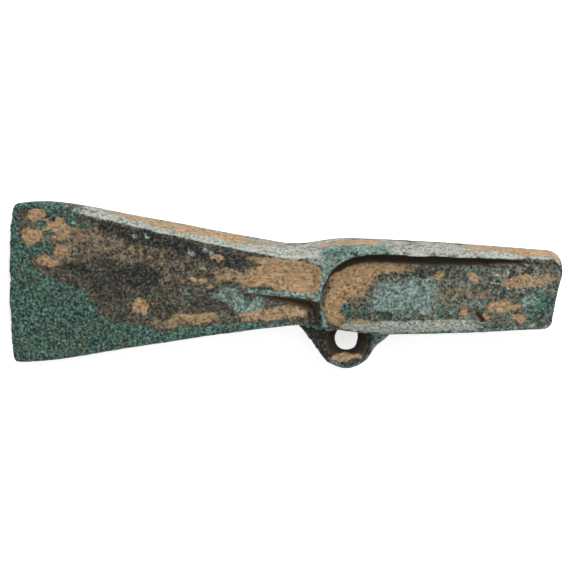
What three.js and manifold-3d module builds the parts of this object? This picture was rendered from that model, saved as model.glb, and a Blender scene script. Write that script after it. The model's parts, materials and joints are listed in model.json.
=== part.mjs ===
// A Middle Bronze Age palstave: a bronze axe head with hafting slots on both faces and a side loop.
// It is one casting. Millimetres, +Z up, lying on its lower face as it comes to rest on a table.
//
// The axe is shaped in its own axes: x runs from the cutting edge (0) to the butt, y runs across it
// with the loop on the -y side, and z is its thickness, with the joint plane of the mould at z = 0.
import * as THREE from 'three';
import { mergeVertices } from 'three/addons/utils/BufferGeometryUtils.js';
import Module from 'manifold-3d';

const wasm = await Module();
wasm.setup();

// ---- driving sizes ----
const LENGTH = 165; // cutting edge to butt
const NECK_X = 87; // narrowest part, just below the stop ridge
const NECK_HALF = 10.8;
// The two sides differ a little. The back is the side at +y, away from the loop.
const FLARE = { back: [0.168, 0.0003], loop: [0.136, 0.00072] }; // widening per mm and per mm squared
const TURN_START = 22; // from here to the edge the sides of the blade curve back in
const TURN = { back: 0.0095, loop: 0.0055 }; // how strongly they do, per mm squared
const SHOULDER = { back: [80, 101], loop: [86, 114] }; // where they swell to the width over the flanges
const HAFT_HALF = 13.2; // half width over the flanges
const BUTT_HALF = 11.7;
const TAPER_START = 111; // from here the haft end narrows to the butt
const SIDE_BULGE = 0.5; // how far the casting seam stands out from the long edges
const EDGE_ROUND = 0.9; // rounding of the long edges
const SEPTUM_HALF = 3.9; // half thickness of the web between the two slots
const EDGE_SAG = 0.9; // bow of the cutting edge
const BLADE_CORNER = 2.0; // plan radius of the blade's corners
const BUTT_CORNER = { back: 4.8, loop: 2.8 };
const BUTT_SLANT = 2.6; // how much shorter the loop side is at the butt

const STOP_X = 92.3; // blade side of the stop ridge, at the middle of its bow
const RIDGE_MIDDLE = -2.3; // y of that middle
const RIDGE_CURVE = 0.04; // how fast the ridge curves back from it, per mm squared
const RIDGE_ENDS = [-8.3, 3.5]; // the bow keeps within these y
const RIDGE_WIDTH = 1.2;
const RIDGE_RISE = 2.2; // length over which the blade's face climbs to the ridge

// Half thickness along the long edges: a blunt cutting edge, the stop ridge, then the flanges
// sinking to the butt.
const edgeCurve = profile([
  [0, 0.7],
  [3, 1.7],
  [12, 3.2],
  [28, 5.5],
  [48, 7.5],
  [72, 8.9],
  [94, 9.8],
  [101, 10.1],
  [108, 10.0],
  [128, 8.9],
  [144, 7.1],
  [157, 4.9],
  [LENGTH, 4.3],
]);
const BEARING = [48, 101]; // the axe lies on its long edges at these x
const BEARING_HOLLOW = 0.3; // and clears the table between them by this much

// ---- small helpers ----
function clamp(t, low, high) {
  return THREE.MathUtils.clamp(t, low, high);
}

// A smooth curve through a few points [x, value].
function profile(points) {
  const curve = new THREE.CubicInterpolant(points.map((p) => p[0]), points.map((p) => p[1]), 1);
  const last = points.at(-1)[0];
  return (x) => curve.evaluate(clamp(x, points[0][0], last))[0];
}

function smooth(t, from, to) {
  return THREE.MathUtils.smoothstep(t, from, to);
}

// t where t is well above 0, and 0 where it is well below, with a soft bend between.
function softRamp(t, softness) {
  const s = clamp((t + softness) / (2 * softness), 0, 1);
  return t >= softness ? t : softness * s * s;
}

function spread(from, to, count) {
  return Array.from({ length: count }, (_, i) => from + ((to - from) * i) / count);
}

// The skin between rings of n points each, as index triples. The rings run anticlockwise when seen
// from the side that they are stacked towards.
function tubeTriangles(rings, n) {
  const triangles = [];
  for (let i = 0; i + 1 < rings; i++) {
    for (let k = 0; k < n; k++) {
      const [a, b] = [i * n + k, i * n + ((k + 1) % n)];
      triangles.push([a, b, b + n], [a, b + n, a + n]);
    }
  }
  return triangles;
}

function closedGeometry(rings, triangles) {
  const numbers = rings.flat().flatMap((p) => p.toArray());
  return new THREE.BufferGeometry()
    .setAttribute('position', new THREE.Float32BufferAttribute(numbers, 3))
    .setIndex(triangles.flat());
}

function edgeHalf(x) {
  const [from, to] = BEARING;
  const t = (x - from) / (to - from);
  if (t <= 0 || t >= 1) return edgeCurve(x);
  return THREE.MathUtils.lerp(edgeCurve(from), edgeCurve(to), t) - BEARING_HOLLOW * Math.sin(Math.PI * t);
}

// ---- the outline seen from above ----
function sideAt(y) {
  return y < 0 ? 'loop' : 'back';
}

// Half width from the middle line to the side that y lies on, before the corners are rounded.
function sideHalf(x, y) {
  const side = sideAt(y);
  const below = softRamp(NECK_X - x, 5);
  const turned = Math.max(0, TURN_START - x);
  const [linear, squared] = FLARE[side];
  const flare = linear * below + squared * below ** 2 - TURN[side] * turned ** 2;
  const shoulder = (HAFT_HALF - NECK_HALF) * smooth(x, ...SHOULDER[side]);
  const taper = ((HAFT_HALF - BUTT_HALF) * Math.max(0, x - TAPER_START)) / (LENGTH - TAPER_START);
  return NECK_HALF + flare + shoulder - taper;
}

// What a corner of the given radius, at the end xEnd, takes off the half width.
function cornerCut(x, xEnd, radius) {
  const inside = clamp(radius - Math.abs(x - xEnd), 0, radius);
  return radius - Math.sqrt(radius * radius - inside * inside);
}

function ridgeBow(y) {
  return RIDGE_CURVE * (clamp(y, ...RIDGE_ENDS) - RIDGE_MIDDLE) ** 2;
}

// Cross-sections are named by s, their x on the middle line, and bend with the cutting edge, the
// stop ridge and the slanting butt. This gives the true x at the share v of the half width.
function lengthwise(s, v) {
  const atEdge = EDGE_SAG * v * v * (1 - smooth(s, 0, 30));
  const nearRidge = smooth(s, STOP_X - 14, STOP_X - 4) * (1 - smooth(s, STOP_X + 4, STOP_X + 14));
  const atRidge = ridgeBow(v * sideHalf(s, v)) * nearRidge;
  const atButt = 0.5 * BUTT_SLANT * (1 - v) * smooth(s, LENGTH - 25, LENGTH);
  return s + atEdge + atRidge - atButt;
}

// ---- the face between the long edges ----
const FACE_HOLLOW = { depth: 0.5, start: 20, full: 70 }; // dishing of the whole blade
const RIB_START = 67; // where the midrib rises from the blade
const RIB_SHIFT = -2.0; // y of the rib's crest where it meets the stop ridge
const RIB_CREST = 0.5; // half width of the crest
const RIB_FOOT = [1.4, 3.4]; // from the crest to the foot of the rib's steep side, at its two ends
const TROUGH_BACK = 1.1; // depth of the trough beside the rib at the stop ridge, on the back's side
const TROUGH_LOOP = 3.6; // and on the loop's side, where it is steep
const TROUGH_OUTLET = 0.4; // share of that depth that runs out over the long edge by the ridge

function faceDrop(s, v) {
  const half = sideHalf(s, v);
  const below = 1 - smooth(s, STOP_X - RIDGE_RISE, STOP_X);
  const dish = FACE_HOLLOW.depth * smooth(s, FACE_HOLLOW.start, FACE_HOLLOW.full) * (1 - v ** 4);
  const growth = clamp((s - RIB_START) / (STOP_X - RIB_START), 0, 1);
  const fromRib = v * half - RIB_SHIFT * growth;
  const away = Math.abs(fromRib);
  const back = TROUGH_BACK * Math.sin(Math.PI * clamp(away / half, 0, 1));
  const foot = THREE.MathUtils.lerp(...RIB_FOOT, growth);
  const outlet = TROUGH_OUTLET * smooth(s, STOP_X - 10, STOP_X - 3);
  const rising = 1 - (1 - outlet) * clamp((away - foot) / (half - foot - 1.5), 0, 1);
  const loop = TROUGH_LOOP * smooth(away, RIB_CREST, foot) * rising;
  return below * (dish + growth * (fromRib > 0 ? back : loop));
}

// ---- the solid body, before the slots are cut ----
// Shares of the half width at which a face has its points, closest at the rib.
const FACE_SHARES = [
  1, 0.93, 0.8, 0.64, 0.48, 0.33, 0.2, 0.09, 0,
  -0.07, -0.13, -0.19, -0.26, -0.34, -0.45, -0.6, -0.76, -0.9, -1,
];

// One cross-section: the points over the top from the seam at +y to the seam at -y, then under
// the bottom in the opposite order.
function section(s) {
  const e = edgeHalf(s);
  const round = Math.min(EDGE_ROUND, 0.45 * e);
  const wallX = { 1: lengthwise(s, 1), [-1]: lengthwise(s, -1) };
  const outerHalf = (side) => {
    const corners = cornerCut(s, 0, BLADE_CORNER) + cornerCut(s, LENGTH, BUTT_CORNER[sideAt(side)]);
    return sideHalf(wallX[side], side) - corners;
  };
  const longEdge = (side) => {
    const outer = outerHalf(side);
    const wall = outer - SIDE_BULGE;
    const rim = e - faceDrop(s, side);
    return [
      [outer, 0],
      [outer - 0.3 * SIDE_BULGE, 0.5 * e],
      [wall, rim - round],
      [wall - 0.3 * round, rim - 0.3 * round],
    ].map(([y, z]) => new THREE.Vector3(wallX[side], side * y, z));
  };
  const face = FACE_SHARES.map((v) => {
    const inner = outerHalf(v < 0 ? -1 : 1) - SIDE_BULGE - round;
    return new THREE.Vector3(lengthwise(s, v), v * inner, e - faceDrop(s, v));
  });
  const over = [...longEdge(1), ...face, ...longEdge(-1).reverse()];
  const under = over.slice(1, -1).reverse().map((p) => p.clone().setZ(-p.z));
  return [...over, ...under];
}

function bodyGeometry() {
  const quarter = [0, 0.08, 0.3, 0.6, 1]; // shares of a corner's radius, closest at the very end
  const stations = [
    ...quarter.map((t) => t * BLADE_CORNER),
    ...spread(BLADE_CORNER + 2, STOP_X - 24, 18),
    ...spread(STOP_X - 24, STOP_X - RIDGE_RISE, 10),
    ...spread(STOP_X - RIDGE_RISE, STOP_X, 4),
    ...spread(STOP_X, STOP_X + 8, 4),
    ...spread(STOP_X + 8, LENGTH - BUTT_CORNER.back, 20),
    ...quarter.map((t) => LENGTH - t * BUTT_CORNER.back).reverse(),
  ];
  const rings = stations.map(section);
  const n = rings[0].length;
  const triangles = tubeTriangles(rings.length, n);
  const last = (rings.length - 1) * n;
  const capQuads = spread(0, n / 2, n / 2).map((k) => [k, k + 1, n - k - 1, (n - k) % n]);
  for (const [a, b, c, d] of capQuads) {
    const fan = [[a, b, c], [a, c, d]].filter((corners) => new Set(corners).size === 3);
    triangles.push(...fan.map((corners) => corners.toReversed()));
    triangles.push(...fan.map((corners) => corners.map((k) => last + k)));
  }
  return closedGeometry(rings, triangles);
}

// ---- the slots for the split haft ----
const FLANGE_BASE = 3.1; // thickness of a flange where it meets the web
const SLOT_CREST = 6.6; // height above the web that the highest flange reaches
const SLOT_CORNER = { back: [17, 9.6], loop: [3.0, 3.6] }; // lengthwise and across
const BOW_FADE = 12; // distance over which the closed end's bow runs out along the side walls
const WALL_LEAN = 2.25; // how far the side walls lean out over their height
const END_LEAN = 3.1; // and the closed end, which is a scoop

// The slot's outline when it is grown by the share t of its lean: 0 at the floor, 1 at the crest.
function slotOutline(t) {
  const endX = STOP_X + RIDGE_WIDTH + END_LEAN * (1 - t);
  const beyond = LENGTH + 6;
  const halves = [1, -1].map((side) => {
    const [rx, ry] = SLOT_CORNER[sideAt(side)];
    const wall = (x) => sideHalf(x, side) - SIDE_BULGE - FLANGE_BASE + WALL_LEAN * t;
    const straight = spread(LENGTH, endX + rx, 8).map((x) => [x, wall(x)]);
    const arc = spread(0, Math.PI / 2, 8).concat(Math.PI / 2).map((angle) => {
      const x = endX + rx * (1 - Math.sin(angle));
      const y = wall(x) - ry * (1 - Math.cos(angle));
      return [x + ridgeBow(side * y) * (1 - smooth(x, endX, endX + BOW_FADE)), y];
    });
    return [[beyond, wall(LENGTH)], ...straight, ...arc].map(([x, y]) => new THREE.Vector2(x, side * y));
  });
  const end = spread(halves[0].at(-1).y, halves[1].at(-1).y, 6).slice(1);
  return [
    ...halves[0],
    ...end.map((y) => new THREE.Vector2(endX + ridgeBow(y), y)),
    ...halves[1].reverse(),
  ];
}

// A solid that is taken away: flat below, and widening upwards with a filleted foot.
function slotGeometry() {
  const heights = [0, 0.06, 0.2, 0.42, 0.7, 1];
  const layers = heights.map((h) => {
    const t = Math.sqrt(1 - (1 - h) ** 2); // quarter round in section
    return slotOutline(t).map((p) => new THREE.Vector3(p.x, p.y, SEPTUM_HALF + SLOT_CREST * h));
  });
  layers.push(layers.at(-1).map((p) => p.clone().setZ(2 * SEPTUM_HALF + SLOT_CREST)));
  const n = layers[0].length;
  const topLayer = (layers.length - 1) * n;
  const floor = THREE.ShapeUtils.triangulateShape(slotOutline(0), []);
  const roof = THREE.ShapeUtils.triangulateShape(slotOutline(1), []);
  return closedGeometry(layers, [
    ...tubeTriangles(layers.length, n),
    ...floor.map((corners) => corners.toReversed()),
    ...roof.map((corners) => corners.map((k) => topLayer + k)),
  ]);
}

// The same slot on the other face.
function mirrored(geometry) {
  const flipped = geometry.clone().scale(1, 1, -1);
  flipped.index.array.reverse();
  return flipped;
}

// ---- the side loop ----
// A cast strap that springs from the side, lofted through rungs. Each rung is its inner point and
// its outer point, as x and y, and the strap's half thickness there.
const LOOP_RUNGS = [
  [99.6, -8.5, 84.0, -8.5, 3.4],
  [98.9, -12.6, 87.8, -13.4, 3.3],
  [97.6, -15.6, 91.6, -18.2, 3.1],
  [98.6, -18.7, 95.2, -23.0, 2.9],
  [101.0, -19.6, 101.2, -25.2, 2.9],
  [103.4, -18.7, 106.8, -22.9, 2.9],
  [104.3, -16.0, 110.0, -18.2, 3.1],
  [104.2, -12.8, 114.0, -14.8, 3.3],
  [104.0, -8.5, 119.0, -8.5, 3.4],
];
const LOOP_STEPS = 32;
const STRAP_SIDES = 14;
const STRAP_FULLNESS = 0.8; // power of the strap's section: 1 is an ellipse, and less is squarer

function loopGeometry() {
  const inner = new THREE.CatmullRomCurve3(LOOP_RUNGS.map(([x, y, , , half]) => new THREE.Vector3(x, y, half)));
  const outer = new THREE.CatmullRomCurve3(LOOP_RUNGS.map(([, , x, y]) => new THREE.Vector3(x, y, 0)));
  const soften = (u) => Math.sign(u) * Math.abs(u) ** STRAP_FULLNESS;
  const rings = spread(0, 1, LOOP_STEPS).concat(1).map((t) => {
    const from = inner.getPoint(t);
    const to = outer.getPoint(t);
    return spread(0, 2 * Math.PI, STRAP_SIDES).map((angle) => {
      const across = 0.5 - 0.5 * soften(Math.cos(angle));
      return from.clone().lerp(to, across).setZ(from.z * soften(Math.sin(angle)));
    });
  });
  const last = (rings.length - 1) * STRAP_SIDES;
  const triangles = tubeTriangles(rings.length, STRAP_SIDES);
  for (let k = 1; k + 1 < STRAP_SIDES; k++) {
    triangles.push([k + 1, k, 0], [last, last + k, last + k + 1]);
  }
  return closedGeometry(rings, triangles);
}

// ---- joining and cutting ----
function solid(geometry) {
  const merged = mergeVertices(geometry, 1e-4);
  return new wasm.Manifold(new wasm.Mesh({
    numProp: 3,
    vertProperties: merged.attributes.position.array,
    triVerts: new Uint32Array(merged.index.array),
  }));
}

function geometryOf(manifold) {
  const mesh = manifold.getMesh();
  return new THREE.BufferGeometry()
    .setAttribute('position', new THREE.BufferAttribute(mesh.vertProperties, 3))
    .setIndex(new THREE.BufferAttribute(mesh.triVerts, 1));
}

function axeGeometry() {
  const slot = slotGeometry();
  const casting = solid(bodyGeometry()).add(solid(loopGeometry()));
  return geometryOf(casting.subtract(solid(slot)).subtract(solid(mirrored(slot))));
}

// ---- lying at rest ----
function centreOfMass(geometry) {
  const { position } = geometry.attributes;
  const index = geometry.index.array;
  const centre = new THREE.Vector3();
  let volume = 0;
  for (let i = 0; i < index.length; i += 3) {
    const [a, b, c] = [0, 1, 2].map((k) => new THREE.Vector3().fromBufferAttribute(position, index[i + k]));
    const part = a.dot(b.clone().cross(c)) / 6; // signed, of the tetrahedron on the origin
    centre.addScaledVector(a.clone().add(b).add(c), part / 4);
    volume += part;
  }
  return centre.divideScalar(volume);
}

// The axe tips about y until its centre of mass is as low as it can be.
function restingPitch(geometry) {
  const centre = centreOfMass(geometry);
  const { array } = geometry.attributes.position;
  const height = (pitch) => {
    let lowest = Infinity;
    for (let i = 0; i < array.length; i += 3) {
      lowest = Math.min(lowest, array[i] * Math.sin(pitch) + array[i + 2] * Math.cos(pitch));
    }
    return centre.x * Math.sin(pitch) + centre.z * Math.cos(pitch) - lowest;
  };
  const pitches = spread(0, THREE.MathUtils.degToRad(10), 1000);
  return pitches.reduce((best, pitch) => (height(pitch) < height(best) ? pitch : best));
}

const bronze = new THREE.MeshStandardMaterial({ color: 0x5f6f63, roughness: 0.75, metalness: 0.25 });
const geometry = axeGeometry();
const axe = new THREE.Mesh(geometry, bronze);
axe.name = 'axe_head';
axe.rotation.y = -restingPitch(geometry);

// The origin is under the middle of the axe, on the surface that it lies on.
const lying = new THREE.Group();
lying.add(axe);
lying.updateMatrixWorld(true);
const box = new THREE.Box3().setFromObject(lying, true);
const middle = box.getCenter(new THREE.Vector3());
axe.position.set(-middle.x, -middle.y, -box.min.z);

export default lying;
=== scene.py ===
import json
import math

import bpy
import numpy as np
from mathutils import Euler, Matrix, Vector


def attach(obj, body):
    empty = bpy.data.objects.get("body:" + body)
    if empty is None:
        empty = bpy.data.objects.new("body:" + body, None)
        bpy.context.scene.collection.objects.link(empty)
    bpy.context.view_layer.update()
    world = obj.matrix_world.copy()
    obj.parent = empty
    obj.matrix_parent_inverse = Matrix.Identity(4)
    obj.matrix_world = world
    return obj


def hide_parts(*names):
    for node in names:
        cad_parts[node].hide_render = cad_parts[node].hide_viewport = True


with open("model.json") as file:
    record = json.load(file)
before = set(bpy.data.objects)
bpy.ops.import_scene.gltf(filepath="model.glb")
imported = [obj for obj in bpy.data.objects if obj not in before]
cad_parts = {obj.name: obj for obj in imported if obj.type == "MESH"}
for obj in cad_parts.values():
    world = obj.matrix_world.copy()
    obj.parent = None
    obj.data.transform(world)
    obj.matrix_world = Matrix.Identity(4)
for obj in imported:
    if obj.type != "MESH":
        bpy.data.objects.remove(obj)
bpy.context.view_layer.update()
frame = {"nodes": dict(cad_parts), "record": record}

NODE = "axe_head"
LENGTH = 165.0
STOP_X = 93.5  # crest of the stop ridge
RIDGE_BOW = 0.04  # how fast the stop ridge bends towards the butt at its ends
RIB_START = 67.0  # where the midrib begins to rise from the blade
RIB_RUN = 25.3  # from there to the stop ridge
RIB_SHIFT = -2.0  # how far the rib's crest has moved across, by the stop ridge
EYE_X = 101.2  # centre of the loop's eye
EYE_Y = -16.2
VOXEL = 0.00045  # metres, the size of the fine mesh's faces
TABLE_GAP = 0.00001  # metres, the least height of any point over the table
SEED = 7


# ---- the axe's own axes ----
septum = next(m for m in frame["record"]["mounts"] if m["name"] == "septum_top")
SEPTUM_AT = np.array([125.0, 0.0, 3.9])  # the mount's place in the axe's own axes
AXIS_Z = np.array(septum["axis"])
AXIS_X = np.array([AXIS_Z[2], 0.0, -AXIS_Z[0]])
AXES = np.array([AXIS_X, [0.0, 1.0, 0.0], AXIS_Z])


def to_axe(points):
    return (points - np.array(septum["pos_m"])) * 1000 @ AXES.T + SEPTUM_AT


def directions_to_axe(vectors):
    return vectors @ AXES.T


# ---- repeatable noise over points in millimetres ----
def lattice(cell, seed):
    """A number from 0 to 1 for each whole-number cell."""
    h = cell[:, 0] * 73856093 ^ cell[:, 1] * 19349663 ^ cell[:, 2] * 83492791 ^ seed * 7919
    h = (h ^ (h >> 13)) * 1274126177 & 0xFFFFFFFF
    h = (h ^ (h >> 16)) * 668265263 & 0xFFFFFFFF
    return ((h ^ (h >> 15)) & 0xFFFFF) / 0xFFFFF


def value_noise(points, size, seed):
    """Smooth noise from -1 to 1 whose lumps are about size across."""
    p = points / size + 1000
    base = np.floor(p).astype(np.int64)
    t = p - base
    t = t * t * (3 - 2 * t)
    total = np.zeros(len(points))
    for corner in np.ndindex(2, 2, 2):
        offset = np.array(corner)
        weight = np.prod(np.where(offset == 1, t, 1 - t), axis=1)
        total += weight * lattice(base + offset, seed + SEED)
    return total * 2 - 1


ASKEW = np.array([[1, 2, 2], [2, 1, -2], [2, -2, 1]]) / 3  # lays the noise's grid across every side


def layered_noise(points, size, seed, layers=3):
    turned = points @ ASKEW
    total = np.zeros(len(points))
    for k in range(layers):
        total += value_noise(turned, size / 2**k, seed + 31 * k) / 2**k
        turned = turned[:, [1, 2, 0]] * [1, -1, 1] + 17.3
    return total / 1.4


def cells(points, size, seed):
    """Distance to the nearest scattered point, in shares of size, and that point's own number."""
    p = points / size + 1000
    base = np.floor(p).astype(np.int64)
    nearest = np.full(len(points), 9.0)
    number = np.zeros(len(points))
    for step in np.ndindex(3, 3, 3):
        cell = base + np.array(step) - 1
        spot = cell + np.column_stack([lattice(cell, seed + k) for k in (1, 2, 3)])
        distance = np.linalg.norm(p - spot, axis=1)
        closer = distance < nearest
        nearest = np.where(closer, distance, nearest)
        number = np.where(closer, lattice(cell, seed + 4), number)
    return nearest, number


def ramp(value, low, high):
    t = np.clip((value - low) / (high - low), 0, 1)
    return t * t * (3 - 2 * t)


# ---- the fine mesh ----
def fine_mesh():
    source = frame["nodes"][NODE]
    shell = bpy.data.objects.new("axe_head_shell", source.data.copy())
    bpy.context.scene.collection.objects.link(shell)
    weld = shell.modifiers.new("weld", "WELD")
    weld.merge_threshold = 1e-6
    remesh = shell.modifiers.new("remesh", "REMESH")
    remesh.mode = "VOXEL"
    remesh.voxel_size = VOXEL
    relax = shell.modifiers.new("relax", "SMOOTH")
    relax.factor = 0.5
    relax.iterations = 3
    graph = bpy.context.evaluated_depsgraph_get()
    mesh = bpy.data.meshes.new_from_object(shell.evaluated_get(graph))
    bpy.data.objects.remove(shell)
    mesh.name = "axe_head_surface"
    return mesh


mesh = fine_mesh()
count = len(mesh.vertices)


def read_vectors(collection, name, n):
    values = np.empty(n * 3)
    collection.foreach_get(name, values)
    return values.reshape(-1, 3)


places = read_vectors(mesh.vertices, "co", count)
normals = read_vectors(mesh.vertices, "normal", count)
p = to_axe(places)
n = directions_to_axe(normals)
x, y, z = p.T
height = np.abs(z)
upper = z > 0
face_up = np.where(upper, n[:, 2], -n[:, 2])  # 1 where the surface looks straight up or down


# ---- where on the axe each point lies ----
def along(values, pick, step=1.5):
    """The largest of the picked values near each x, as a smooth curve read at every point."""
    stops = np.arange(0, LENGTH + step, step)
    slot_of = np.clip(np.round(x / step).astype(int), 0, len(stops) - 1)
    largest = np.full(len(stops), -1.0)
    np.maximum.at(largest, slot_of[pick], values[pick])
    return np.interp(x, stops, np.convolve(np.pad(largest, 1, mode="edge"), [0.25, 0.5, 0.25], "valid"))


outer = along(y, y > 0)  # half width of the casting at this x
crest = along(height, np.abs(y) > outer - 3)  # half thickness along the long edges
on_loop = (y < -outer - 0.2) & (x > 82) & (x < 120)
inset = outer - np.abs(y)  # how far in from the outline
side = ramp(np.abs(n[:, 1]), 0.5, 0.8) * ramp(inset, 2.4, 1.6)  # the narrow sides
ridge_x = STOP_X + RIDGE_BOW * (np.clip(y, -8.3, 3.5) + 2.3) ** 2
past_ridge = ramp(x, ridge_x - 0.2, ridge_x + 0.6)
in_slot = past_ridge * np.maximum(ramp(crest - height, 0.5, 1.2), x > 150) * ramp(inset, 1.0, 1.8)
slot_wall = past_ridge * ramp(crest - height, 0.2, 0.6) * ramp(inset, 0.8, 1.3) * ramp(face_up, 0.93, 0.75)
slot_pick = (x > ridge_x + 1) & (height < crest - 0.7) & (inset > 0.7)
from_back = along(y, slot_pick & (y > 0)) - y  # how far inside the slot's edge on the back
from_loop = along(-y, slot_pick & (y < 0)) + y  # the same on the loop's side
blade_face = ramp(x, ridge_x + 0.6, ridge_x - 0.2) * ramp(face_up, 0.4, 0.7) * ramp(inset, 0.9, 1.6)


# ---- patches of patina on the upper face ----
broad = layered_noise(p, 9, 1)
middling = layered_noise(p, 3.2, 2)
fine = layered_noise(p, 1.2, 3)


def pushed(points, large, small):
    """The points pushed about, so that the borders of patches run irregularly."""
    wide = np.column_stack([layered_noise(points, 6, 100 + k) for k in range(3)])
    near = np.column_stack([layered_noise(points, 1.8, 200 + k) for k in range(3)])
    return points + large * wide + small * near


loose = pushed(p, 1.3, 0.8)


def patch(cx, cy, rx, ry, turn=0.0):
    """1 inside an ellipse with an irregular border, 0 outside. Turn is in degrees."""
    a = math.radians(turn)
    dx = loose[:, 0] - cx
    dy = loose[:, 1] - cy
    u = (dx * math.cos(a) + dy * math.sin(a)) / rx
    v = (dy * math.cos(a) - dx * math.sin(a)) / ry
    return ramp(np.hypot(u, v), 1.3, 0.7)


def laid_on(ground, *items):
    """Lays patches over the ground in turn, each as (amount, x, y, half length, half width, turn)."""
    total = ground * 1.0
    for amount, *shape in items:
        share = patch(*shape)
        total = total + (amount - total) * share
    return total


def above_line(*points):
    """How far each point lies above a line of (x, y) points, across the axe."""
    line = np.interp(loose[:, 0], [q[0] for q in points], [q[1] for q in points])
    return loose[:, 1] - line


# The thick green crust lies below this line and along the cutting edge.
over_crust = above_line(
    (3, 13), (6.7, 6.1), (12.1, 2.0), (18, -1.2), (23, -2.6), (27.3, -7.6), (33.2, -11.4),
    (45, -12.4), (60, -11.0), (75, -9.8), (92, -9.3),
)
edge_strip = ramp(loose[:, 0], 4.2, 2.4)
crust = np.maximum(ramp(over_crust, 0.9, -0.9), edge_strip) * ramp(x, ridge_x + 2, ridge_x)
crust = np.maximum(crust, 0.8 * patch(17.0, 21.6, 4.6, 1.5, -8) * upper)

# How much of the blade's face the orange-tan soil covers, from 0 to 1.
soil = laid_on(
    0.27 + 0.10 * broad,
    (0.38, 30, 11, 20, 7, -8), (0.46, 24, 15, 8, 3.4, -10), (0.46, 30, 13.5, 6, 2.6, -10),
    (0.44, 20, 8.8, 6, 3.0), (0.46, 35, 11.0, 6, 2.6, -12), (0.42, 44, 8.6, 6, 2.6, -8),
    (0.20, 36, 3.0, 13, 4.6, -6), (0.12, 39.5, 4.0, 6, 2.6, -6), (0.12, 22, 4.8, 4, 2.0, -10),
    (0.12, 46, 14.0, 20, 2.1, -13.5), (0.14, 66, 9.6, 12, 1.6, -12), (0.36, 54, 7.6, 6, 2.4, -8),
    (0.38, 48, 1.5, 5, 3.0), (0.30, 58, -1.0, 7, 3.0), (0.38, 46, -4.6, 7, 2.0),
    (0.36, 62, 4.6, 6, 2.4, -8),
    (0.88, 40.1, -6.0, 2.2, 2.4), (0.85, 55.4, 2.2, 1.2, 0.9), (0.85, 58.3, 2.9, 1.2, 1.0),
    (0.85, 60.7, 1.2, 1.1, 0.9), (0.85, 62.7, 9.9, 2.4, 0.9, -12), (0.60, 66.7, 4.4, 4.6, 2.4, -6),
    (0.62, 52.3, -9.0, 3.0, 1.2), (0.60, 49.0, -10.6, 4.0, 1.0, 6), (0.62, 58.7, -8.6, 6.0, 1.7, 4),
    (0.56, 45.4, -10.8, 3, 1.0), (0.30, 66, -3.0, 5, 2.4), (0.60, 72.0, 2.4, 5.0, 2.2, -4),
    (0.95, 84.0, 4.6, 11.5, 4.9, -4), (0.92, 91.5, 1.6, 2.6, 5.0), (0.86, 78.5, 9.0, 6.5, 1.5, -8),
    (0.20, 70.5, 8.4, 5.0, 1.5, -8), (0.20, 66.5, 0.2, 4.2, 2.0), (0.12, 71.0, -3.8, 5.0, 1.3, 2),
    (0.70, 80.4, -6.6, 10.5, 1.7, 3), (0.62, 71.0, -8.0, 3.4, 1.3), (0.20, 81.5, -4.3, 2.0, 0.7),
    (0.92, 9.1, 20.4, 2.6, 2.6), (0.80, 14.0, 16.4, 4.6, 4.0), (0.75, 6.6, 12.8, 3.4, 3.4, 20),
    (0.78, 12.3, 6.4, 3.0, 1.7), (0.70, 16.4, 9.8, 2.6, 2.0), (0.72, 11.8, 18.6, 1.6, 1.2),
    (0.10, 17.0, 21.3, 3.2, 1.3, -8), (0.08, 12.6, 19.4, 1.5, 1.0), (0.10, 9.8, 17.6, 1.6, 1.3),
    (0.10, 11.7, 14.4, 1.8, 1.0), (0.10, 10.2, 10.2, 3.4, 1.6), (0.10, 7.6, 8.2, 2.0, 1.2),
    (0.10, 4.4, 10.2, 1.5, 1.6), (0.08, 19.7, 18.6, 2.4, 1.3, -14), (0.12, 23.0, 18.2, 2.4, 0.9, -14),
)
soil = soil * (1 - crust) * blade_face
blade_corner = ramp(np.hypot(x - 2, np.abs(y) - 24), 17, 11) * ramp(inset, 3.0, 2.0)

teal = laid_on(
    0.16 + 0.10 * broad,
    (0.75, 17.0, 21.3, 3.2, 1.3, -8), (0.75, 12.6, 19.4, 1.5, 1.0), (0.75, 9.8, 17.6, 1.6, 1.3),
    (0.70, 11.7, 14.4, 1.8, 1.0), (0.70, 10.2, 10.2, 3.4, 1.6), (0.70, 7.6, 8.2, 2.0, 1.2),
    (0.70, 4.4, 10.2, 1.5, 1.6), (0.80, 19.7, 18.6, 2.4, 1.3, -14), (0.80, 23.0, 18.2, 2.4, 0.9, -14),
    (0.60, 42.7, -2.4, 2.2, 1.2), (0.72, 52.7, -1.5, 1.6, 1.2), (0.66, 54.8, -4.5, 2.2, 1.1),
    (0.70, 60.7, -4.0, 1.7, 1.0), (0.66, 50.5, -7.2, 2.2, 0.9), (0.50, 66.5, 0.2, 4.2, 2.0),
    (0.60, 71.0, -3.8, 5.0, 1.4, 2), (0.66, 84.0, -1.4, 6.0, 0.7, -3), (0.40, 60, -1.0, 8, 3.0),
    (0.60, 81.5, -4.3, 2.0, 0.7), (0.60, 67.0, -7.5, 2.2, 1.0), (0.35, 40, -6, 12, 3.0, -4),
)
teal = np.maximum(teal, crust * (0.90 + 0.1 * broad)) * blade_face

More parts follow.
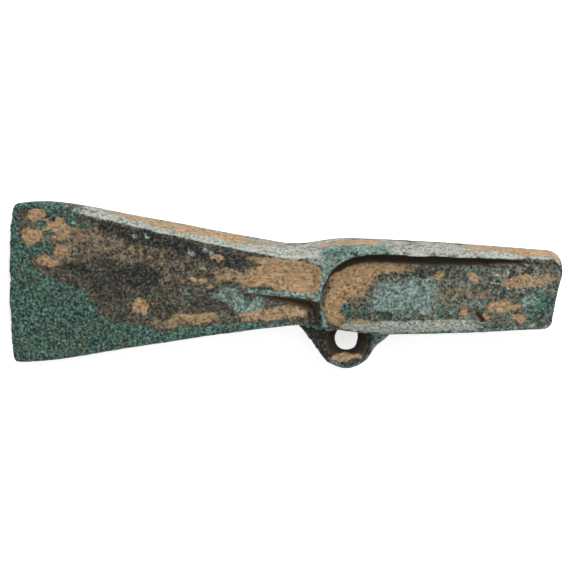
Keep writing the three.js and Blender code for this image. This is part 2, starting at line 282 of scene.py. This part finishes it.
dark = laid_on(
    0.45 + 0.12 * broad,
    (0.85, 46, 14.0, 20, 2.1, -13.5), (0.82, 66, 9.4, 12, 1.5, -12), (0.72, 38.0, 3.4, 10.0, 3.4, -6),
    (0.85, 39.5, 4.0, 5, 2.2, -6), (0.80, 22.0, 4.6, 3.4, 1.6, -8), (0.66, 50.7, 6.6, 4.6, 1.5, -6),
    (0.60, 30.0, -1.4, 8.0, 3.0, -10), (0.60, 46.0, -5.2, 6.0, 1.6), (0.72, 69.0, 8.0, 6.0, 1.7, -10),
    (0.62, 60.0, 5.0, 4.0, 1.3, -8), (0.55, 62.0, -4.0, 8.0, 2.6), (0.15, 84, 4, 14, 8),
    (0.2, 14, 14, 9, 9),
)
dark = dark * blade_face * (1 - 0.85 * crust)

verdigris = laid_on(
    0.04 + 0.05 * broad,
    (0.80, 38.7, 16.0, 0.9, 0.7), (0.80, 42.4, 15.5, 1.1, 0.7), (0.85, 55.3, 10.8, 1.0, 0.8),
    (0.85, 60.4, 11.8, 1.4, 0.6), (0.80, 58.4, 6.9, 0.9, 0.7), (0.55, 71.0, -4.0, 3.4, 0.8, 2),
    (0.75, 15.2, 19.8, 0.7, 0.6), (0.75, 9.4, 17.6, 0.6, 0.5), (0.75, 20.0, 18.4, 0.8, 0.6),
    (0.45, 52.7, -1.5, 1.2, 0.9), (0.45, 84.0, -1.2, 5.0, 0.5, -3),
    (0.58, 66.0, -1.6, 5.5, 2.6), (0.60, 71.0, -4.6, 5.0, 2.0), (0.60, 74.0, -3.6, 3.0, 1.0, 10),
)
verdigris = verdigris * blade_face

red = laid_on(
    np.zeros(count),
    (0.50, 16.6, -9.9, 1.1, 0.8), (0.45, 18.0, -6.2, 1.0, 0.7), (0.50, 22.6, -16.9, 1.3, 0.8),
    (0.50, 35.6, -17.2, 1.5, 0.7), (0.45, 42.1, -16.4, 1.2, 0.6), (0.40, 14.0, -14.4, 1.0, 0.8),
) * upper

# The slot: soil by the stop ridge and in patches, with blue-green and grey between.
slot_soil = laid_on(
    0.32 + 0.1 * broad,
    (0.93, 103.0, 3.4, 7.0, 6.4), (0.93, 98.0, -5.0, 3.4, 5.0), (0.78, 110.0, 6.6, 8.0, 1.8),
    (0.25, 114.0, -3.2, 8.5, 5.4), (0.18, 120.0, -1.6, 7.0, 5.0), (0.12, 101.4, -6.2, 1.8, 1.5),
    (0.12, 106.4, -6.8, 2.0, 2.0), (0.66, 116.2, 6.8, 5.0, 1.4), (0.25, 126.0, 5.4, 4.6, 1.5),
    (0.75, 128.0, 4.0, 1.7, 1.3), (0.75, 139.0, 3.8, 1.7, 1.1), (0.70, 135.4, -7.0, 1.7, 1.3),
    (0.44, 136.0, -2.0, 8.0, 3.6), (0.20, 132.0, -5.8, 2.4, 1.4), (0.20, 140.0, -4.6, 2.4, 1.4),
    (0.64, 155.3, 3.4, 8.0, 2.2), (0.74, 147.8, -4.4, 4.8, 1.7), (0.15, 147.3, 0.2, 3.2, 1.5),
    (0.75, 142.8, -7.6, 1.4, 0.8), (0.80, 152.0, -8.4, 2.4, 1.0), (0.08, 158.6, -4.6, 4.6, 3.9),
    (0.20, 150.2, 5.2, 1.8, 1.1), (0.20, 156.0, 5.4, 2.4, 0.9), (0.72, 120.0, -10.2, 25.0, 0.7),
)
slot_verdigris = laid_on(
    0.30 + 0.1 * broad,
    (0.10, 103.0, 3.0, 8.0, 7.0), (0.10, 98.0, -4.4, 4.0, 5.0), (0.60, 117.0, -2.4, 9.0, 5.2),
    (0.72, 115.0, -4.0, 5.0, 2.4, 10), (0.60, 123.0, -0.6, 6.0, 4.4),
    (0.85, 124.2, -5.8, 1.8, 1.3), (0.30, 101.4, -6.2, 1.8, 1.5), (0.30, 106.4, -6.8, 2.0, 2.0),
    (0.85, 132.2, -6.0, 0.9, 0.7), (0.36, 147.0, 0.2, 3.0, 1.6),
    (0.10, 155.3, 3.4, 8.0, 2.2), (0.60, 155.5, -3.2, 2.4, 2.0), (0.50, 139.0, -4.0, 4.0, 1.6),
)
slot_teal = laid_on(
    0.42 + 0.1 * broad,
    (0.10, 103.0, 3.0, 8.0, 7.0), (0.85, 158.6, -4.6, 5.0, 4.2), (0.70, 101.4, -6.2, 2.0, 1.5),
    (0.70, 106.4, -6.8, 2.2, 2.0), (0.60, 113.0, -7.6, 4.0, 1.4), (0.45, 160.5, -8.4, 3.4, 2.0),
)
slot_dark = laid_on(
    0.30 + 0.12 * broad,
    (0.05, 103.0, 3.0, 8.0, 7.0), (0.60, 113.0, 2.6, 4.0, 2.0, -20), (0.66, 125.0, 5.2, 4.6, 1.5),
    (0.75, 150.2, 5.2, 1.8, 1.1), (0.80, 156.0, 5.4, 2.4, 0.9), (0.55, 147.0, 0.2, 3.4, 1.8),
    (0.60, 111.0, -7.0, 5.0, 2.4), (0.60, 138.7, -6.0, 2.0, 1.2), (0.40, 118.0, -3.0, 6.0, 4.0),
)


def in_the_slot(values, slot_values):
    return values + (slot_values - values) * in_slot


soil = in_the_slot(soil, slot_soil)
verdigris = in_the_slot(verdigris, slot_verdigris)
teal = in_the_slot(teal, slot_teal)
dark = in_the_slot(dark, slot_dark)

# The flanges' inner walls: the back's is painted dark down to its foot as a painted shadow, and the loop's
# has a pale crust, painted paler still as a painted highlight.
wall_shadow_reach = np.interp(x, [96, 99, 128, 140, 148, 158], [1.0, 3.2, 3.2, 2.6, 1.3, 0.4]) + 0.25 * middling
at_wall = past_ridge * ramp(crest - height, 0.1, 0.5)
back_wall_shadow = ramp(from_back, wall_shadow_reach + 0.7, wall_shadow_reach - 0.5) * ramp(from_back, -0.5, -0.1)
back_wall_shadow = back_wall_shadow * at_wall * (y > 0) * upper * ramp(x, 156, 151)
loop_wall = ramp(from_loop, 2.7, 1.7) * ramp(from_loop, -0.5, -0.1) * ramp(x, 97, 102)
loop_wall = loop_wall * at_wall * (y < 0) * upper
pale_highlit_wall = loop_wall * ramp(x, 146, 134)
dark = dark + (0.45 - dark) * loop_wall
soil = soil * (1 - back_wall_shadow) * (1 - 0.7 * pale_highlit_wall)
verdigris = verdigris * (1 - back_wall_shadow) + 0.45 * pale_highlit_wall
teal = np.maximum(teal, 0.6 * loop_wall)
upper_half = ramp(height, 4.3, 5.4) * ramp(crest - height, 0.3, 1.2)
# Painted highlight: the loop's wall is painted paler, most on its upper half.
pale = pale_highlit_wall * (0.88 + 0.16 * middling + 0.26 * upper_half)
pale = np.maximum(pale, 0.40 * in_slot * upper * patch(154, 5, 12, 6))  # a chalky bloom by the butt

# The narrow sides are pale, with stretches of soil; they are painted lighter towards the crest as a painted
# highlight, and darker along their lower rim as painted shade.
strip = np.maximum(side, ramp(inset, 1.9, 1.3) * (x > 5)) * ~on_loop
strip = strip * (1 - slot_wall)
bleached = ramp(x, 9, 30) * strip
share = z / crest + 0.12 * fine + 0.22 * middling
pale = np.maximum(pale, bleached * (0.60 + 0.16 * middling + 0.10 * ramp(share, -0.4, 0.8)))
teal = np.maximum(teal, strip * (0.50 + 0.3 * middling))
teal = np.maximum(teal, 0.9 * blade_corner)
soil = soil * (1 - strip)
dark = dark * (1 - strip) + strip * (0.30 + 0.2 * middling)
verdigris = verdigris * (1 - strip) + bleached * (0.40 + 0.4 * middling)
for amount, middle, half, low, high in (
    (0.62, 36.0, 5.0, -0.5, 0.5), (0.80, 45.5, 5.5, -0.6, 0.6), (0.85, 56.0, 5.0, -0.6, 0.7),
    (0.80, 66.5, 4.0, -0.6, 0.75), (0.50, 77.0, 4.0, -0.4, 0.4), (0.90, 97.0, 3.4, -0.1, 0.6),
    (0.85, 104.5, 6.0, -0.45, 0.2), (0.35, 117, 8, -0.6, 0.2), (0.45, 128, 8, -0.5, 0.1),
    (0.70, 142, 7, -0.5, 0.5), (0.90, 157, 12, -0.6, 0.9),
):
    u = (loose[:, 0] + 2.5 * broad - middle) / (half + 2.2)
    v = (share - 0.5 * (low + high) - 0.2 * broad) / (0.5 * (high - low) + 0.1)
    stretch = ramp(np.hypot(u, v), 1.35, 0.6)
    soil = np.maximum(soil, amount * stretch * strip)
# Painted shade along the narrow side's far, lower rim, which turns away from the light.
rim_shade = ramp(share, -0.55, -0.85) * strip
pale = pale * (1 - 0.7 * rim_shade)
verdigris = verdigris * (1 - 0.5 * rim_shade)

# By the stop ridge the upper half of the narrow side is blue-green, like the corner beside it.
wavy_x = loose[:, 0] + 3 * middling
rim = strip * ramp(share, 0.1, 0.5) * ramp(wavy_x, 92, 97) * ramp(wavy_x, 122, 106) * (y > 0)
rim = np.maximum(rim, strip * ramp(share, -0.4, -0.7) * ramp(wavy_x, 89, 96) * ramp(wavy_x, 115, 102))
rim = np.maximum(rim, strip * (y < 0) * (x > 60) * upper)
soil = soil * (1 - rim)
pale = pale + (0.12 + 0.15 * middling - pale) * rim
teal = teal + (0.85 - teal) * rim
verdigris = verdigris + (0.50 + 0.3 * middling - verdigris) * rim
dark = dark + (0.25 - dark) * rim

# Painted highlights on two edges: the back's long edge, and the upper side of the rib's crest.
rib_y = RIB_SHIFT * np.clip((x - RIB_START) / RIB_RUN, 0, 1)
crest_highlight = ramp(np.abs(inset - 1.35), 0.7, 0.2) * upper * ramp(x, 14, 30) * (y > 0)
crest_highlight = crest_highlight * (1 - slot_wall) * (1 - 0.9 * rim) * (0.6 + 0.5 * middling)
rib_highlight = 0.6 * ramp(np.abs(y - rib_y - 0.9), 0.6, 0.2) * ramp(x, 79, 84) * (x < 91.5)
crest_highlight = np.maximum(crest_highlight, rib_highlight * upper)

# The crest of the stop ridge, the corner by it and the rib's crest are green.
lip = ramp(np.abs(x - ridge_x + 0.1), 1.2, 0.5) * ramp(crest - height, 2.4, 0.8) * (inset > 1.2)
flange_top = past_ridge * ramp(crest - height, 0.5, 0.2) * (y > 2) * ramp(x, 116, 108)
corner = np.maximum(patch(92.5, 9.4, 3.4, 1.8), flange_top) * (1 - slot_wall) * (1 - strip)
below_rib = rib_y - y + 0.3 * fine
rib_crest = ramp(np.abs(below_rib + 0.1), 1.3, 0.6) * ramp(x, 70, 73) * blade_face
green_rim = np.maximum(np.maximum(lip, corner), rib_crest) * upper
teal = teal + (0.80 - teal) * green_rim
verdigris = verdigris + (0.60 + 0.2 * middling + 0.05 * corner - verdigris) * green_rim
soil = soil * (1 - 0.9 * green_rim)
dark = dark * (1 - 0.7 * green_rim)
pale = pale + (0.25 + 0.35 * ramp(x, 98, 92) + 0.2 * middling - pale) * corner * upper

# Painted shade in the steep hollows: the loop side of the rib, the foot of the stop ridge, the back
# flange's wall, and the inside of the loop.
rib_shade_reach = np.interp(x, [72, 80, 87, 89.5, 91], [0.5, 1.6, 3.0, 4.0, 10.5])
rib_shade = ramp(x, 70, 80) * ramp(below_rib, 0.5, 1.1) * ramp(below_rib, rib_shade_reach + 1.4, rib_shade_reach - 0.8)
rib_shade = rib_shade * blade_face * upper
ridge_foot_shade = rib_shade * ramp(below_rib, 3.0, 5.0)
painted_shade = np.maximum(0.95 * rib_shade * (1 - ridge_foot_shade), 0.95 * back_wall_shadow)
dark = np.maximum(dark, 0.92 * ridge_foot_shade)
teal = np.maximum(teal, 0.6 * ridge_foot_shade)
soil = soil * (1 - ridge_foot_shade)
eye = np.hypot(x - EYE_X, y - EYE_Y) + 0.4 * middling
# Painted shade: the loop darkens towards its left leg, which lies in the flange's shade.
dark = np.where(on_loop, 0.55 + 0.2 * broad + 0.35 * ramp(x, 97, 94), dark)
teal = np.where(on_loop, 0.62 + 0.2 * middling, teal)
soil = np.where(on_loop, 0.10 + 0.15 * broad, soil)
loop_rim = ramp(eye, 6.6, 8.4) * ramp(x, 95, 98)
verdigris = np.where(on_loop, 0.16 + 0.25 * middling + 0.30 * loop_rim, verdigris)
pale = np.where(on_loop, 0.05, pale)
loop_soil = on_loop * upper * patch(101.5, -21.2, 4.6, 1.3)
soil = np.maximum(soil, 0.92 * loop_soil)
# Painted shade on the loop's inner wall round the eye, darker still inside the eye.
dark = np.maximum(dark, on_loop * ramp(eye, 8.2, 7.0) * (1 - loop_soil) * ramp(y, -22, -19.5))
painted_shade = np.maximum(painted_shade, on_loop * ramp(eye, 6.5, 5.7) * (1 - loop_soil) * ramp(y, -22, -19.5))

# The hidden face is plainer: green crust over a dark ground, with soil in the slot.
below = (~upper) & (side < 0.5)
soil = np.where(below, 0.30 + 0.25 * broad + 0.30 * in_slot, soil)
teal = np.where(below, 0.40 + 0.3 * middling + 0.4 * crust, teal)
dark = np.where(below, 0.35 + 0.2 * broad, dark)
verdigris = np.where(below, 0.15 + 0.2 * middling, verdigris)


# ---- the corroded surface as relief ----
grain_near, grain_number = cells(p, 1.5, 50)
pit_near, pit_number = cells(p, 2.6, 60)
grainy = np.clip(crust + 0.35 * teal, 0, 1) * (1 - 0.7 * strip)  # where grains of crust stand out
relief = 0.10 * layered_noise(p, 11, 5) + 0.05 * middling + 0.035 * fine
relief += grainy * 0.24 * ramp(grain_near, 0.62, 0.15) * (grain_number > 0.35)
relief -= 0.22 * ramp(pit_near, 0.34, 0.12) * (pit_number > 0.62) * (1 - 0.6 * strip)
relief -= 0.10 * (1 - crust) * blade_face * ramp(soil, 0.7, 0.4)
relief += 0.05 * ramp(soil, 0.5, 0.9)


def groove(x0, y0, x1, y1, half_width, depth, face):
    """A crack from one point to another, seen from the face, tapering at its ends."""
    dx, dy = x1 - x0, y1 - y0
    t = np.clip(((x - x0) * dx + (y - y0) * dy) / (dx * dx + dy * dy), 0, 1)
    away = np.hypot(x - x0 - t * dx, y - y0 - t * dy) + 0.12 * fine
    deep = ramp(away, half_width * 1.5, half_width * 0.4) * ramp(np.abs(t - 0.5), 0.5, 0.3)
    return depth * deep * face


notch = groove(139.6, -6.3, 142.0, -9.3, 0.55, 1.0, upper & (face_up > 0.5))
hole = 0.9 * ramp(np.hypot(x - 142.6, y - 8.6), 0.9, 0.3) * upper
relief -= notch + hole
# Painted shade inside the crack and the pit.
painted_shade = np.maximum(painted_shade, np.clip(1.2 * notch + hole, 0, 1))

# The cutting edge is worn into small nicks.
nicks = ramp(x, 3.0, 0.5) * (0.35 * layered_noise(p * [0, 1, 0.2], 5, 70) - 0.12)
moved = p + n * relief[:, None]
moved[:, 0] -= nicks

placed = (moved - SEPTUM_AT) @ AXES / 1000 + septum["pos_m"]
placed[:, 2] = np.maximum(placed[:, 2], TABLE_GAP)  # flat where it lies on the table
mesh.vertices.foreach_set("co", placed.ravel())

# How far each point lies below the average of its neighbours; such places are painted darker.
edges = np.empty(len(mesh.edges) * 2, np.int64)
mesh.edges.foreach_get("vertices", edges)
starts, ends = edges.reshape(-1, 2).T
neighbours = np.bincount(edges, minlength=count)


def averaged(values, rounds):
    for _ in range(rounds):
        total = np.bincount(starts, values[ends], count) + np.bincount(ends, values[starts], count)
        values = 0.5 * values + 0.5 * total / neighbours
    return values


mean_place = np.column_stack([averaged(moved[:, k], 5) for k in range(3)])
hollowness = np.einsum("ij,ij->i", mean_place - moved, n)


def keep(name, values):
    layer = mesh.attributes.new(name, "FLOAT", "POINT")
    layer.data.foreach_set("value", np.clip(values, 0, 1).astype(np.float32))


for name, values in (
    ("soil", soil), ("teal", teal), ("dark", dark), ("pale", pale), ("verdigris", verdigris),
    ("red", red), ("painted_shade", painted_shade), ("crest_highlight", crest_highlight),
    ("hollow", 0.5 + 4 * hollowness),
):
    keep(name, values)

mesh.shade_smooth()
mesh.update()


# ---- the patina's material ----
LIGHT_LEVEL = 1.35  # brightness of a white card under the studio light


def colour(red_byte, green_byte, blue_byte):
    """A colour as it looks under the studio light, in sRGB bytes."""
    def linear(byte):
        c = byte / 255
        return (c / 12.92 if c <= 0.04045 else ((c + 0.055) / 1.055) ** 2.4) / LIGHT_LEVEL

    return (linear(red_byte), linear(green_byte), linear(blue_byte), 1.0)


patina = bpy.data.materials.new("patinated_bronze")
patina.use_nodes = True
nodes = patina.node_tree.nodes
links = patina.node_tree.links
nodes.clear()


def node(kind, **settings):
    made = nodes.new(kind)
    for name, value in settings.items():
        setattr(made, name, value)
    return made


def plug(socket, value):
    if isinstance(value, bpy.types.NodeSocket):
        links.new(value, socket)
    else:
        socket.default_value = value


def maths(operation, a, b=0.0, c=0.0, clamp=False):
    made = node("ShaderNodeMath", operation=operation, use_clamp=clamp)
    for socket, value in zip(made.inputs, (a, b, c)):
        plug(socket, value)
    return made.outputs[0]


def mix(share, a, b):
    made = node("ShaderNodeMix", data_type="RGBA")
    plug(made.inputs["Factor"], share)
    plug(made.inputs[6], a)
    plug(made.inputs[7], b)
    return made.outputs[2]


def amount_of(name):
    return node("ShaderNodeAttribute", attribute_name=name).outputs["Fac"]


coordinates = node("ShaderNodeTexCoord").outputs["Object"]
scaled = node("ShaderNodeVectorMath", operation="SCALE")
plug(scaled.inputs[0], coordinates)
scaled.inputs["Scale"].default_value = 1000.0
millimetres = scaled.outputs[0]


def noise(size, detail=3.0, roughness=0.6, shift=0.0, stretch=1.0):
    """Noise whose lumps are about size across, and stretched along the axe."""
    moved_by = node("ShaderNodeVectorMath", operation="MULTIPLY_ADD")
    plug(moved_by.inputs[0], millimetres)
    moved_by.inputs[1].default_value = (1 / stretch, 1, 1)
    moved_by.inputs[2].default_value = (shift, shift * 1.7, -shift)
    made = node("ShaderNodeTexNoise")
    plug(made.inputs["Vector"], moved_by.outputs[0])
    made.inputs["Scale"].default_value = 1.0 / size
    made.inputs["Detail"].default_value = detail
    made.inputs["Roughness"].default_value = roughness
    return made.outputs["Fac"]


def grains(size, shift=0.0):
    moved_by = node("ShaderNodeVectorMath", operation="ADD")
    plug(moved_by.inputs[0], millimetres)
    moved_by.inputs[1].default_value = (shift, shift, shift)
    made = node("ShaderNodeTexVoronoi")
    plug(made.inputs["Vector"], moved_by.outputs[0])
    made.inputs["Scale"].default_value = 1.0 / size
    return made.outputs


def cover(amount, pattern, spread=3.4, softness=0.3):
    """Thresholds a pattern so that the share of the surface it covers follows the amount."""
    base = maths("MULTIPLY_ADD", amount, 1.8, -0.4)
    level = maths("MULTIPLY_ADD", maths("SUBTRACT", pattern, 0.5), spread, base)
    return maths("MULTIPLY_ADD", maths("SUBTRACT", level, 0.5), 1 / softness, 0.5, clamp=True)


def between(pattern, low, high):
    return maths("MULTIPLY_ADD", maths("SUBTRACT", pattern, low), 1 / (high - low), 0.0, clamp=True)


def shades(pattern, *stops):
    """Runs through colours as a pattern rises, given as value, colour, value, colour and so on."""
    ramp_node = node("ShaderNodeValToRGB")
    plug(ramp_node.inputs["Fac"], pattern)
    elements = ramp_node.color_ramp.elements
    while len(elements) < len(stops) // 2:
        elements.new(0.5)
    for element, value, tint in zip(elements, stops[::2], stops[1::2]):
        element.position = value
        element.color = tint
    return ramp_node.outputs["Color"]


grit = noise(0.85, 2, 0.6)
other_grit = noise(0.8, 2, 0.6, shift=53)
clumps = noise(2.8, 3, shift=23)
drift = noise(8.0, 3, shift=41)
fibres = noise(0.7, 2, shift=71, stretch=3.0)
grain = grains(1.05)
fleck = maths("MULTIPLY", between(grain["Distance"], 0.46, 0.18), between(other_grit, 0.44, 0.52))
pore = between(other_grit, 0.42, 0.34)


def mix_value(share, a, b):
    return maths("ADD", maths("MULTIPLY", a, 1 - share), maths("MULTIPLY", b, share))


def broken(size, shift):
    """A pattern for the borders of patches: clumps broken up by grit."""
    return mix_value(0.45, noise(size, 4, shift=shift), noise(0.8, 2, shift=shift + 7))


# Each layer below has its own colours, and lies over the ones before it where its amount says.

ground = shades(grit, 0.36, colour(30, 29, 24), 0.5, colour(71, 70, 62), 0.64, colour(126, 119, 102))
ground = mix(maths("MULTIPLY", between(clumps, 0.5, 0.62), 0.45), ground, colour(104, 92, 68))
ground = mix(maths("MULTIPLY", between(clumps, 0.46, 0.36), 0.5), ground, colour(62, 76, 72))

green = shades(grit, 0.36, colour(26, 40, 38), 0.5, colour(56, 84, 79), 0.64, colour(98, 130, 118))
green = mix(maths("MULTIPLY", between(drift, 0.44, 0.62), 0.35), green, colour(72, 84, 58))
green = mix(maths("MULTIPLY", fleck, 0.6), green, colour(132, 166, 148))
green = mix(maths("MULTIPLY", pore, 0.8), green, colour(20, 27, 26))
surface = mix(cover(amount_of("teal"), broken(2.4, 11)), ground, green)

black = shades(other_grit, 0.36, colour(24, 24, 22), 0.52, colour(50, 50, 47), 0.66, colour(92, 90, 80))
surface = mix(cover(amount_of("dark"), broken(2.6, 71), softness=0.6), surface, black)

blue_green = shades(
    grit, 0.36, colour(82, 100, 97), 0.5, colour(118, 139, 132), 0.64, colour(158, 178, 168)
)
surface = mix(cover(amount_of("verdigris"), broken(2.6, 31), softness=0.7), surface, blue_green)

chalk = shades(
    other_grit, 0.34, colour(98, 106, 98), 0.5, colour(150, 156, 146), 0.64, colour(190, 196, 188)
)
chalk = mix(maths("MULTIPLY", between(clumps, 0.5, 0.64), 0.5), chalk, colour(176, 166, 148))
surface = mix(cover(amount_of("pale"), broken(1.8, 61)), surface, chalk)

weave = mix_value(0.5, fibres, grit)
earth = shades(weave, 0.38, colour(118, 94, 66), 0.5, colour(166, 137, 102), 0.62, colour(194, 166, 132))
earth = mix(maths("MULTIPLY", between(clumps, 0.5, 0.62), 0.55), earth, colour(130, 122, 94))
earth = mix(maths("MULTIPLY", between(drift, 0.5, 0.4), 0.4), earth, colour(186, 148, 116))
earth = mix(maths("MULTIPLY", pore, 0.75), earth, colour(66, 54, 36))
thin = between(amount_of("soil"), 0.72, 0.38)
earth = mix(maths("MULTIPLY", thin, 0.6), earth, colour(114, 103, 84))
surface = mix(cover(amount_of("soil"), broken(1.8, 91), softness=0.45), surface, earth)

# Painted highlights along the crests, in a pale blue-grey.
highlight_cover = cover(amount_of("crest_highlight"), grit, 2.0, 0.6)
surface = mix(maths("MULTIPLY", highlight_cover, 0.7), surface, colour(186, 196, 192))
surface = mix(cover(amount_of("red"), grit, 1.6, 0.5), surface, colour(116, 72, 56))

# Darkening where the surface lies below its neighbours, then painted shade in the steep hollows, come last.
low_places = maths("MULTIPLY_ADD", amount_of("hollow"), 2.2, -1.2, clamp=True)
surface = mix(maths("MULTIPLY", low_places, 0.6), surface, colour(34, 32, 27))
shadow = maths("MULTIPLY_ADD", maths("SUBTRACT", other_grit, 0.5), 0.8, amount_of("painted_shade"), clamp=True)
surface = mix(between(shadow, 0.1, 0.55), surface, colour(90, 67, 44))
surface = mix(between(shadow, 0.45, 0.9), surface, colour(48, 43, 34))

rough = maths("MULTIPLY_ADD", grit, 0.25, 0.58, clamp=True)
bump_height = maths("ADD", maths("MULTIPLY", grit, 0.6), maths("MULTIPLY", other_grit, 0.4))
bump = node("ShaderNodeBump")
bump.inputs["Strength"].default_value = 0.9
bump.inputs["Distance"].default_value = 0.00025
plug(bump.inputs["Height"], bump_height)

shader = node("ShaderNodeBsdfPrincipled")
plug(shader.inputs["Base Color"], surface)
plug(shader.inputs["Roughness"], rough)
plug(shader.inputs["Normal"], bump.outputs["Normal"])
shader.inputs["Metallic"].default_value = 0.0
shader.inputs["Specular IOR Level"].default_value = 0.12
output = node("ShaderNodeOutputMaterial")
links.new(shader.outputs["BSDF"], output.inputs["Surface"])

mesh.materials.clear()
mesh.materials.append(patina)
axe = bpy.data.objects.new("axe_head_surface", mesh)
bpy.context.scene.collection.objects.link(axe)
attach(axe, "root")
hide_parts(NODE)


# ---- floor, light and camera ----
def light_table(name, value, glow):
    """A pale matt surface that is also lit from within, so that shadows on it stay faint."""
    made = bpy.data.materials.new(name)
    made.use_nodes = True
    base = made.node_tree.nodes["Principled BSDF"]
    base.inputs["Base Color"].default_value = (value, value, value, 1)
    base.inputs["Roughness"].default_value = 0.9
    base.inputs["Emission Color"].default_value = (1, 1, 1, 1)
    base.inputs["Emission Strength"].default_value = glow
    return made


FLOOR_HALF = 4.0  # metres

floor_mesh = bpy.data.meshes.new("floor")
corners = [(-1, -1), (1, -1), (1, 1), (-1, 1)]
floor_mesh.from_pydata([(FLOOR_HALF * u, FLOOR_HALF * v, 0.0) for u, v in corners], [], [(0, 1, 2, 3)])
floor_mesh.materials.append(light_table("pale_floor", 0.9, 0.55))
floor = bpy.data.objects.new("floor", floor_mesh)
bpy.context.scene.collection.objects.link(floor)

TILT = math.radians(13.0)  # the camera leans this far from straight down, towards +y
ROLL = math.radians(0.45)
DISTANCE = 1.2
FIELD = 0.1701  # width of the view at the axe
aim = Vector((0.0, 0.0005, 0.009))

camera_data = bpy.data.cameras.new("camera")
camera_data.sensor_width = 36.0
camera_data.lens = 36.0 * DISTANCE / FIELD
camera_data.clip_end = 20.0
camera = bpy.data.objects.new("camera", camera_data)
turn = Euler((-TILT, 0.0, ROLL), "XYZ")
camera.rotation_euler = turn
camera.location = aim + turn.to_matrix() @ Vector((0.0, 0.0, DISTANCE))
bpy.context.scene.collection.objects.link(camera)
bpy.context.scene.camera = camera


def area_light(name, towards, elevation, distance, size, power):
    """A square soft light. Towards is its compass direction from the axe: 0 is +x and 90 is +y."""
    a, e = math.radians(towards), math.radians(elevation)
    out = Vector((math.cos(a) * math.cos(e), math.sin(a) * math.cos(e), math.sin(e)))
    data = bpy.data.lights.new(name, "AREA")
    data.size = size
    data.energy = power
    light = bpy.data.objects.new(name, data)
    light.location = out * distance
    light.rotation_euler = (-out).to_track_quat("-Z", "Y").to_euler()
    bpy.context.scene.collection.objects.link(light)


area_light("key", towards=66, elevation=50, distance=1.6, size=0.8, power=28)
area_light("fill", towards=-80, elevation=60, distance=1.8, size=1.6, power=6)

world = bpy.data.worlds.new("studio")
world.use_nodes = True
world.node_tree.nodes["Background"].inputs["Color"].default_value = (1, 1, 1, 1)
world.node_tree.nodes["Background"].inputs["Strength"].default_value = 0.46
bpy.context.scene.world = world
bpy.context.scene.view_settings.view_transform = "Standard"
